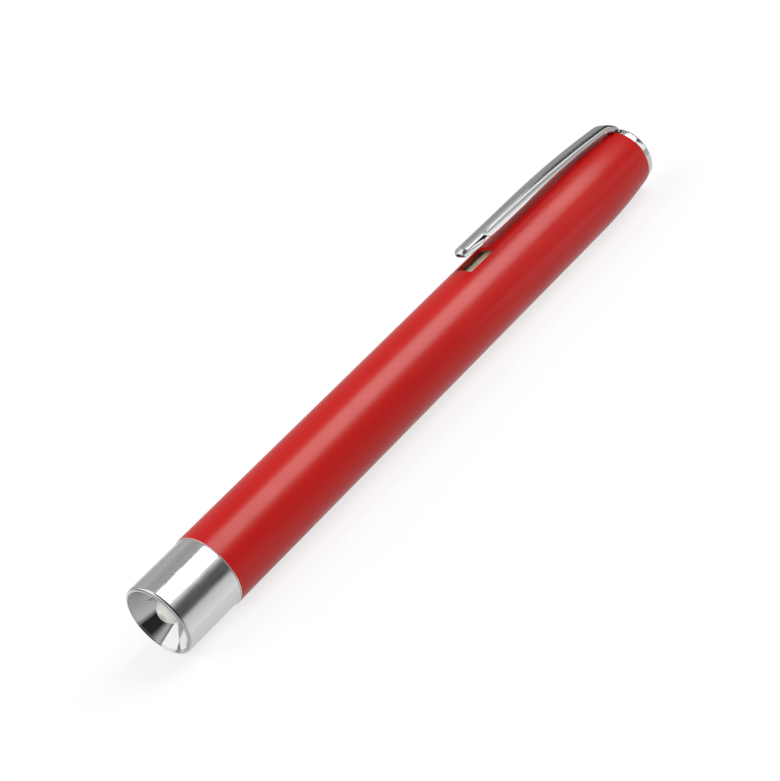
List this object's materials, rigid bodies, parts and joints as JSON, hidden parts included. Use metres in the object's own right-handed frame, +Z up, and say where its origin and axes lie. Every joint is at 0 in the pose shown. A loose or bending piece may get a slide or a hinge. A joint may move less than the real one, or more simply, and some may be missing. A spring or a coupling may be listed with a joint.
{
  "type": "penlight",
  "caption": "Pen-shaped pocket torch with a red barrel, a plated screw-on reflector head, a domed lamp and a sprung pocket clip that presses through a window to switch it on.",
  "frame": {"origin": "middle of the pen's length, on the surface that it lies on, under its axis", "axes": "+X along the pen towards its tail, so the lamp faces -X; +Z up, through the pocket clip"},
  "size_m": [0.1364, 0.014, 0.0177],
  "materials": {
    "red_barrel": "gloss",
    "chrome_head": "polished",
    "chrome_clip": "polished",
    "chrome_cap": "polished",
    "steel": "satin",
    "brass": "satin",
    "dull_brass": "satin",
    "liner": "matte",
    "insulator": "matte",
    "lamp_dome": "gloss",
    "phosphor": "matte",
    "ivory": "satin",
    "board": "satin",
    "solder": "gloss",
    "resistor_body": "satin",
    "cell_label": "gloss",
    "cell_core": "matte",
    "cell_seal": "matte"
  },
  "bodies": {
    "barrel": {"barrel_tube": "red_barrel", "thread_bush": "brass", "liner_sleeve": "liner", "contact_strip": "dull_brass", "spring_seat": "brass", "tail_spring": "steel", "tail_insulator": "insulator", "tail_cap": "chrome_cap", "clip_rivet": "steel"},
    "clip": {"pocket_clip": "chrome_clip"},
    "cells": {"front_cell_label": "cell_label", "front_cell_can": "steel", "front_cell_core": "cell_core", "front_cell_seal": "cell_seal", "front_cell_end_plate": "steel", "rear_cell_label": "cell_label", "rear_cell_can": "steel", "rear_cell_core": "cell_core", "rear_cell_seal": "cell_seal", "rear_cell_end_plate": "steel"},
    "lamp_insert": {"led_lens": "lamp_dome", "led_lead_frame": "steel", "led_phosphor": "phosphor", "lamp_holder": "ivory", "circuit_board": "board", "solder_joints": "solder", "resistor": "resistor_body", "front_contact": "brass"},
    "head": {"reflector_head": "chrome_head", "retaining_ring": "brass"}
  },
  "joints": [
    {"name": "clip_press", "type": "hinge", "parent": "barrel", "child": "clip", "pos_m": [0.063, 0, 0.01059], "axis": [0, -1, 0], "range_deg": [-2.5, 3], "stiffness_Nm_per_rad": 2.4},
    {"name": "cell_advance", "type": "slide", "parent": "barrel", "child": "cells", "axis": [-1, 0, 0], "range_m": [0, 0.005], "deforming": ["tail_spring"]},
    {"name": "lamp_advance", "type": "slide", "parent": "barrel", "child": "lamp_insert", "axis": [-1, 0, 0], "range_m": [0, 0.005]},
    {"name": "head_unscrew", "type": "hinge", "parent": "lamp_insert", "child": "head", "pos_m": [-0.05574, 0, 0.007], "axis": [-1, 0, 0], "range_deg": [0, 1800]}
  ],
  "couplings": [
    {"joint": "head_unscrew", "follows": "lamp_advance", "rad_per_m": 6283.2},
    {"joint": "cell_advance", "follows": "lamp_advance", "ratio": 1}
  ]
}
